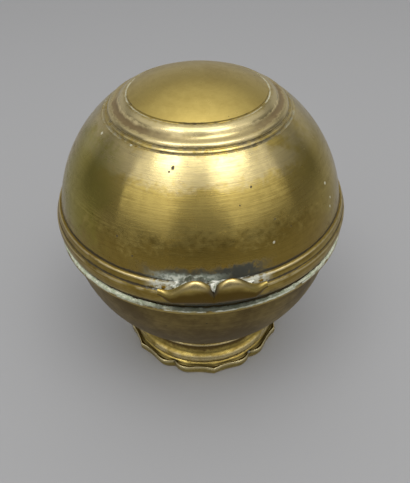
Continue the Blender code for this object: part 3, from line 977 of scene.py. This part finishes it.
thumb_half_turn = thumb_half_width / lid_band_radius
thumb_outline = [(1 + out, up) for out, up in softened(thumb_section_shares, 0.2)]
thumb_shape = turned(thumb_outline, 160, angle=2 * thumb_half_turn)
for vertex in thumb_shape.verts:
    turn, distance = bearing(vertex.co)
    angle = turn - thumb_half_turn
    out = distance - 1
    across = min(1, abs(angle) / thumb_half_turn)
    swell = thumb_swell(across)
    depth = thumb_end_depth + (thumb_depth - thumb_end_depth) * swell
    if across < thumb_hump_share:
        fuller = math.sin(math.pi / 2 * across / thumb_hump_share)
        depth *= thumb_notch_depth_share + (1 - thumb_notch_depth_share) * fuller
    bottom = thumb_bottom_rise + (thumb_end_bottom_rise - thumb_bottom_rise) * (1 - swell)
    radius = thumb_back_radius + depth * out
    height = lid_base_height + bottom + (thumb_top_rise(across) - bottom) * vertex.co.z
    vertex.co = standing(angle, radius, height)
close_ends(thumb_shape)


def thumb_share(place):
    """Where a place lies: across from the notch to an end, and up from the base to the top."""
    across = min(1, abs(bearing(place)[0]) / thumb_half_turn)
    rise = place.z - lid_base_height - thumb_bottom_rise
    return across, rise / (thumb_top_rise(across) - thumb_bottom_rise)


def thumb_crest(place):
    """1 along the top edge: rubbed wear, with a painted highlight on the humps."""
    across, up = thumb_share(place)
    hump = math.exp(-(((across - thumb_hump_share) / 0.24) ** 2))
    return peak(up, 0.90, 0.24) * (0.35 + 0.65 * hump) * min(1, across / 0.16)


def thumb_shade(place):
    """1 on the lower face: painted shade, darker towards the bottom."""
    across, up = thumb_share(place)
    if across < thumb_hump_share:
        up *= (thumb_top_rise(across) - thumb_bottom_rise) / (thumb_hump_rise - thumb_bottom_rise)
    return max(0, min(1, (0.95 - up) / 0.50))


def thumb_notch(place):
    """1 on the flanks of the notch, which are darkened."""
    across, up = thumb_share(place)
    return peak(across, 0, 0.20) * max(0, min(1, (up - 0.55) / 0.3))


# Painted on the thumbpiece: rubbed wear with a painted highlight along the top edge, and painted shade
# on the lower face.
painted(thumb_shape, "worn_edge", thumb_crest)
painted(thumb_shape, "browned", thumb_shade)
painted(thumb_shape, "sooty", thumb_notch)
thumb_foot = (thumb_back_radius + 0.0021, lid_base_height + thumb_bottom_rise)
thumb_marks = [
    # Painted shade: the lower face darkens towards the bottom.
    dict(colour=(0.115, 0.070, 0.013, 1), attribute="browned", crust=0, strength=0.95),
    # Rubbed wear and painted highlight along the top edge, brightest on the humps.
    dict(colour=(0.84, 0.68, 0.34, 1), attribute="worn_edge", crust=0, strength=0.75, smoother=0.05),
    # The notch's flanks are darker.
    dict(colour=(0.06, 0.045, 0.02, 1), attribute="sooty", crust=0.3, strength=0.9),
    dirt(thumb_foot, 0.0007, strength=0.9),
]
thumb_brass = brass(
    "thumbpiece_brass",
    polish=0.28,
    browning=0.25,
    centre_height=rim_height,
    marks=thumb_marks,
    turning=0,
    relief=0.15,
    streaks=0.15,
)
thumb = finished("thumb_brace", thumb_shape, thumb_brass, "lid", "thumbpiece")


# Dried polish
# Years of metal polish and verdigris have dried to a pale crust: in the seam below the lid, thick
# at the left, in the valley behind the thumbpiece, and in its notch.
seam_radius = 0.0430
seam_height = 0.0542
seam_thickness = 0.00052
seam_leaf_clearance = 0.0004
valley_turn = 0.30
valley_floor = 0.0618
valley_back_radius = 0.0413
plug_place = Vector((0, -0.0435, lid_base_height + 0.0084))
plug_reach = Vector((0.0011, 0.0012, 0.0011))
crust_dark_colour = (0.050, 0.055, 0.034, 1)


def dried_polish(name, dull, pale, stretch, dark_from, dark_ring=None):
    """A chalky crust in fine grains, dull to pale, with dark specks and perhaps a dark stretch."""
    made, tree, shader = new_material(name)
    shader.inputs["Roughness"].default_value = 0.85
    shader.inputs["Specular IOR Level"].default_value = 0.25
    place = put(tree, "TexCoord").outputs["Object"]
    slant = {"Vector": place, "Rotation": (0.0, 0.7, 0.0), "Scale": (1.0, 1.0, stretch)}
    smear = put(tree, "Mapping", slant).outputs[0]
    cloud = noise_level(tree, smear, 700.0, 5.0, 0.7)
    patch = noise_level(tree, smear, 260.0, 3.0)
    colour = mixed(tree, eased_range(tree, cloud, 0.38, 0.60), dull, pale)
    dark = eased_range(tree, patch, dark_from, dark_from + 0.10)
    if dark_ring:
        ring = use(tree, ring_mark, vector=place, **dark_ring).outputs["Mask"]
        dark = maths(tree, "MAXIMUM", dark, ring)
    colour = mixed(tree, times(tree, dark, 0.85), colour, crust_dark_colour)
    tree.links.new(colour, shader.inputs["Base Color"])
    bump = put(tree, "Bump", {"Strength": 0.7, "Distance": 0.0002, "Height": cloud})
    tree.links.new(bump.outputs[0], shader.inputs["Normal"])
    return made


# The crust's dark stretch at the front under the thumbpiece: dark crust, and partly a painted shadow.
seam_dark = dict(radius=0.0432, height=seam_height, width=0.0030, side=0.04, spread=0.60)
seam_polish = dried_polish(
    "seam_polish",
    dull=(0.56, 0.62, 0.42, 1),
    pale=(0.88, 0.90, 0.70, 1),
    stretch=1.0,
    dark_from=0.60,
    dark_ring=dict(seam_dark, broken=0.32, patches=420.0),
)
valley_polish = dried_polish(
    "valley_polish",
    dull=(0.26, 0.28, 0.20, 1),
    pale=(0.84, 0.84, 0.74, 1),
    stretch=0.35,
    dark_from=0.54,
)


def roughness_at(place, grain, seed):
    """Layered noise about 1 at a place, for lumps of this size."""
    spot = Vector(place) / grain + Vector((seed, 0, 0))
    return 1 + noise.noise(spot) + 0.5 * noise.noise(spot * 2.7)


def seam_amount(angle):
    """How thick the crust is at an angle from the front: most at the left, some at the right."""
    left = math.exp(-(((angle + 0.72) / 0.42) ** 2))
    right = 0.45 * math.exp(-(((angle - 0.85) / 0.5) ** 2))
    under_thumb = 0.55 * math.exp(-((angle / 0.33) ** 2))
    return 0.40 + 0.85 * max(left, right, under_thumb)


seam_shape = turned(arc((seam_radius, seam_height), seam_thickness, 0, 330, 12), 720)
for vertex in seam_shape.verts:
    angle = bearing(vertex.co)[0]
    middle = Vector(standing(angle, seam_radius, seam_height))
    lumps = roughness_at(vertex.co, 0.0011, 3)
    swell = max(0.25, min(1.1, seam_amount(angle) * (0.45 + 0.55 * lumps)))
    offset = (vertex.co - middle) * swell
    vertex.co = middle + offset + Vector((0, 0, 0.5 * offset.z))
seam_shape = flattened(seam_shape, hinge_flat - seam_leaf_clearance)
finished("seam_crust", seam_shape, seam_polish, "bowl", sharp=180)

valley_outline = [
    (0.0408, 0.0626), (0.0421, 0.0624), (0.0431, valley_floor), (0.0433, 0.0629), (0.0429, 0.0632),
    (0.0424, 0.0633), (0.0419, 0.0636), (0.0416, 0.0641), (0.0414, 0.0648), (0.0408, 0.0650),
]
valley_shape = turned(valley_outline, 120, angle=2 * valley_turn)
for vertex in valley_shape.verts:
    turn, radius = bearing(vertex.co)
    angle = turn - valley_turn
    across = abs(angle) / valley_turn
    lumps = min(1.3, roughness_at(vertex.co, 0.0013, 11))
    left = math.exp(-(((angle + 0.13) / 0.11) ** 2))
    amount = (1 - across**3) * (0.40 + 0.45 * left) * (0.4 + 0.6 * lumps)
    height = valley_floor + (vertex.co.z - valley_floor) * max(0.1, amount)
    taper = 0.2 + 0.8 * min(1, (1 - across) * 3.5)
    radius = valley_back_radius + (radius - valley_back_radius) * taper
    vertex.co = standing(angle, radius, height)
close_ends(valley_shape)
finished("valley_crust", valley_shape, valley_polish, "lid", sharp=180)

plug_shape = bmesh.new()
bmesh.ops.create_icosphere(plug_shape, subdivisions=4, radius=1)
for vertex in plug_shape.verts:
    lumps = roughness_at(vertex.co, 0.8, 5)
    stretch = plug_reach * (0.7 + 0.3 * lumps)
    stretch.x *= 0.12 + 0.88 * (1 + vertex.co.z) / 2
    vertex.co = plug_place + Vector([a * b for a, b in zip(vertex.co, stretch)])
bmesh.ops.recalc_face_normals(plug_shape, faces=plug_shape.faces)
finished("notch_crust", plug_shape, valley_polish, "lid", sharp=180)


# Hinge
# Two cast brass leaves sweated to the mouldings at the back. The bowl's has three knuckles and
# the lid's has two, which turn on one riveted pin.
hinge_axis = Vector((0, 0.0444, 0.054513))
hinge_half_width = 0.008
hinge_barrel_radius = 0.00188
hinge_clear_radius = 0.0022
hinge_leaf_half_width = 0.0076
hinge_leaf_inner = 0.0425
hinge_lid_leaf_height = 0.0073
hinge_bowl_leaf_height = 0.0080
hinge_bowl_leaf_foot = 0.0432
hinge_knuckle_count = 5
hinge_gap = 0.0003
hinge_knuckle_length = (2 * hinge_half_width - 4 * hinge_gap) / hinge_knuckle_count
hinge_knuckle_pitch = hinge_knuckle_length + hinge_gap
hinge_corner = 0.0006
hinge_corner_bend = 0.0002
hinge_edge_bevel = 0.00012


def block(shape, outline, start, end):
    """Adds an upright plate to the bmesh: a (y, z) outline drawn out along X."""
    face = shape.faces.new([shape.verts.new((start, y, z)) for y, z in outline])
    grown = bmesh.ops.extrude_face_region(shape, geom=[face])["geom"]
    moved = [item for item in grown if isinstance(item, bmesh.types.BMVert)]
    bmesh.ops.translate(shape, verts=moved, vec=(end - start, 0, 0))


def knuckle(shape, start):
    """Adds one knuckle to the bmesh, from this place along X."""
    middle = start + hinge_knuckle_length / 2
    lie_down = Matrix.Rotation(math.pi / 2, 4, "Y")
    place = Matrix.Translation((middle, hinge_axis.y, hinge_axis.z))
    bmesh.ops.create_cone(
        shape,
        cap_ends=True,
        segments=48,
        radius1=hinge_barrel_radius,
        radius2=hinge_barrel_radius,
        depth=hinge_knuckle_length,
        matrix=place @ lie_down,
    )


def web(root):
    """The outline of the web from a leaf at this height to the pin's height."""
    inner = hinge_leaf_inner + 0.0002
    outer = hinge_axis.y - 0.0001
    return [(inner, hinge_axis.z), (outer, hinge_axis.z), (outer, root), (inner, root)]


def leaf(outline, web_outline, knuckles):
    """A leaf's plate, and the web that carries each of its knuckles."""
    shape = bmesh.new()
    block(shape, outline, -hinge_leaf_half_width, hinge_leaf_half_width)
    for index in knuckles:
        start = -hinge_half_width + index * hinge_knuckle_pitch
        inset = 0.0001 if 0 < index < hinge_knuckle_count - 1 else 0.0004
        block(shape, web_outline, start + inset, start + hinge_knuckle_length - inset)
        knuckle(shape, start)
    bmesh.ops.recalc_face_normals(shape, faces=shape.faces)
    sharp = [edge for edge in shape.edges if edge.calc_face_angle(0) > math.radians(50)]
    bmesh.ops.bevel(
        shape,
        geom=sharp,
        offset=hinge_edge_bevel,
        offset_type="OFFSET",
        segments=2,
        profile=0.5,
        affect="EDGES",
        material=-1,
        clamp_overlap=True,
    )
    return shape


lid_leaf_top = hinge_axis.z + hinge_lid_leaf_height
lid_leaf_foot = hinge_axis.z + hinge_clear_radius
lid_leaf_outline = [
    (hinge_leaf_inner, lid_leaf_foot),
    (hinge_axis.y, lid_leaf_foot),
    (hinge_axis.y, lid_leaf_top - hinge_corner),
    (hinge_axis.y - hinge_corner_bend, lid_leaf_top - hinge_corner_bend),
    (hinge_axis.y - hinge_corner, lid_leaf_top),
    (hinge_leaf_inner, lid_leaf_top),
]
hinge_brass = brass(
    "hinge_brass",
    polish=0.34,
    browning=0.5,
    centre_height=rim_height,
    turning=0,
    relief=0.15,
    streaks=0.1,
)
lid_leaf_shape = leaf(lid_leaf_outline, web(lid_leaf_foot + 0.0004), (1, 3))
lid_leaf = finished("lid_leaf", lid_leaf_shape, hinge_brass, "lid", "lid_hinge_leaf")
bowl_leaf_top = hinge_axis.z - hinge_clear_radius
bowl_leaf_base = hinge_axis.z - hinge_bowl_leaf_height
bowl_leaf_outline = [
    (hinge_leaf_inner, bowl_leaf_top),
    (hinge_leaf_inner, bowl_rim_base - 0.0001),
    (0.0413, bowl_rim_base - 0.0001),
    (0.0411, bowl_leaf_base),
    (hinge_bowl_leaf_foot - hinge_corner, bowl_leaf_base),
    (hinge_bowl_leaf_foot - hinge_corner_bend, bowl_leaf_base + hinge_corner_bend),
    (hinge_bowl_leaf_foot, bowl_leaf_base + hinge_corner),
    (hinge_axis.y, bowl_rim_base),
    (hinge_axis.y, bowl_leaf_top),
]
bowl_leaf_shape = leaf(bowl_leaf_outline, web(bowl_leaf_top - 0.0001), (0, 2, 4))
bowl_leaf = finished("bowl_leaf", bowl_leaf_shape, hinge_brass, "bowl", "bowl_hinge_leaf")


# Hinge pin
# A length of brass wire through the five knuckles. Its ends are riveted over to shallow heads,
# which keep it in its place.
pin_radius = 0.00065
pin_half_length = 0.0085
pin_head_radius = 0.0011
pin_head_corner = 0.0003
pin_head_depth = 0.00045
pin_outline = [(0, -pin_half_length)]
pin_corner_centre = (pin_head_radius - pin_head_corner, pin_head_corner - pin_half_length)
pin_outline += arc(pin_corner_centre, pin_head_corner, -90, 0, 5)
pin_shoulder = pin_head_depth - pin_half_length
pin_outline += [(pin_head_radius, pin_shoulder), (pin_radius, pin_shoulder)]
pin_outline += [(radius, -along) for radius, along in reversed(pin_outline)]
pin_shape = turned(pin_outline, 32, closed=False)
lie_down = Matrix.Translation(hinge_axis) @ Matrix.Rotation(math.pi / 2, 4, "Y")
bmesh.ops.transform(pin_shape, matrix=lie_down, verts=pin_shape.verts)
pin = finished("riveted_pin", pin_shape, hinge_brass, "bowl", "hinge_pin")


# Floor
# A plain pale grey floor that fills the view. It belongs to the picture, not to the box.
floor_mesh = bpy.data.meshes.new("floor")
floor_shape = bmesh.new()
bmesh.ops.create_grid(floor_shape, x_segments=1, y_segments=1, size=3)
floor_shape.to_mesh(floor_mesh)
floor_shape.free()
floor_paint, _, floor_shader = new_material("floor_paint")
floor_shader.inputs["Base Color"].default_value = (0.38, 0.38, 0.385, 1)
floor_shader.inputs["Roughness"].default_value = 0.9
floor_mesh.materials.append(floor_paint)
floor = bpy.data.objects.new("floor", floor_mesh)
bpy.context.scene.collection.objects.link(floor)


# Light
# A soft sky that is brightest overhead, over a pale wall behind. Two broad soft boxes stand in
# front with a gap between them, a brighter window is high in each, and one more is overhead.
world = bpy.data.worlds.new("sky")
bpy.context.scene.world = world
world.use_nodes = True
sky = world.node_tree
direction = put(sky, "TexCoord").outputs["Generated"]
ahead, rise = put(sky, "SeparateXYZ", {0: direction}).outputs[1:]
ramp = put(sky, "ValToRGB", {"Fac": rise})
ramp.color_ramp.interpolation = "EASE"
sky_levels = ((0.0, 0.13), (0.25, 0.17), (0.5, 0.30), (0.75, 0.65), (1.0, 1.05))
wall_level = 0.42
for spare in list(ramp.color_ramp.elements)[1:]:
    ramp.color_ramp.elements.remove(spare)
ramp.color_ramp.elements[0].position = sky_levels[0][0]
ramp.color_ramp.elements[0].color = (sky_levels[0][1],) * 3 + (1,)
for place, level in sky_levels[1:]:
    ramp.color_ramp.elements.new(place).color = (level, level, level, 1)
behind = eased_range(sky, ahead, 0.15, 0.7, 0, wall_level)
low_down = eased_range(sky, rise, 0.75, 0.35)
wall = times(sky, behind, low_down)
shown = maths(sky, "MAXIMUM", put(sky, "RGBToBW", {0: ramp.outputs["Color"]}).outputs[0], wall)
sky.links.new(shown, sky.nodes["Background"].inputs["Color"])


lamp_aim = Vector((0, 0, 0.06))


def soft_box(name, azimuth, elevation, width, height, radiance, distance=0.9):
    """An area lamp that looks at the object. Its place and its width and height are angles."""
    lamp = bpy.data.lights.new(name, "AREA")
    lamp.shape = "RECTANGLE"
    lamp.size = 2 * distance * math.tan(math.radians(width) / 2)
    lamp.size_y = 2 * distance * math.tan(math.radians(height) / 2)
    lamp.energy = radiance * math.pi * lamp.size * lamp.size_y
    made = bpy.data.objects.new(name, lamp)
    turn = math.radians(azimuth)
    tilt = math.radians(elevation)
    away = Vector(standing(turn, math.cos(tilt), math.sin(tilt)))
    made.location = away * distance + lamp_aim
    made.rotation_euler = away.to_track_quat("Z", "Y").to_euler()
    bpy.context.scene.collection.objects.link(made)


soft_box("left_soft_box", -50, 40, 44, 46, 0.52)
soft_box("right_soft_box", 48, 40, 52, 46, 0.47)
soft_box("left_window", -56, 62, 20, 14, 2.75, 0.88)
soft_box("right_window", 42, 62, 28, 16, 2.4, 0.88)
soft_box("high_window", -4, 80, 44, 26, 1.7, 0.86)


# Camera
# It looks down on the box from the front, a little to one side, as the photograph does.
view_pitch = math.radians(42.68)
view_yaw = math.radians(0.52)
view_roll = math.radians(-1.22)
view_side = Matrix.Rotation(math.radians(-3.2), 3, "Z")
view_distance = 2.7 * rim_radius
view_rise = 2.108 * rim_radius
view_place = Vector((0, -view_distance, rim_height + view_rise))
sight = Vector(
    (
        math.sin(view_yaw) * math.cos(view_pitch),
        math.cos(view_yaw) * math.cos(view_pitch),
        -math.sin(view_pitch),
    )
)
level = Vector((math.cos(view_yaw), -math.sin(view_yaw), 0))
upright = level.cross(sight)
view_right = level * math.cos(view_roll) + upright * math.sin(view_roll)
view_up = upright * math.cos(view_roll) - level * math.sin(view_roll)
axes = [view_side @ axis for axis in (view_right, view_up, -sight)]
camera_data = bpy.data.cameras.new("camera")
camera_data.lens = 40.97
camera_data.sensor_width = 36
camera_data.sensor_fit = "HORIZONTAL"
camera_data.clip_start = 0.01
camera = bpy.data.objects.new("camera", camera_data)
camera.matrix_world = Matrix.Translation(view_side @ view_place) @ Matrix(axes).transposed().to_4x4()
bpy.context.scene.collection.objects.link(camera)
bpy.context.scene.camera = camera
bpy.context.scene.view_settings.view_transform = "Standard"
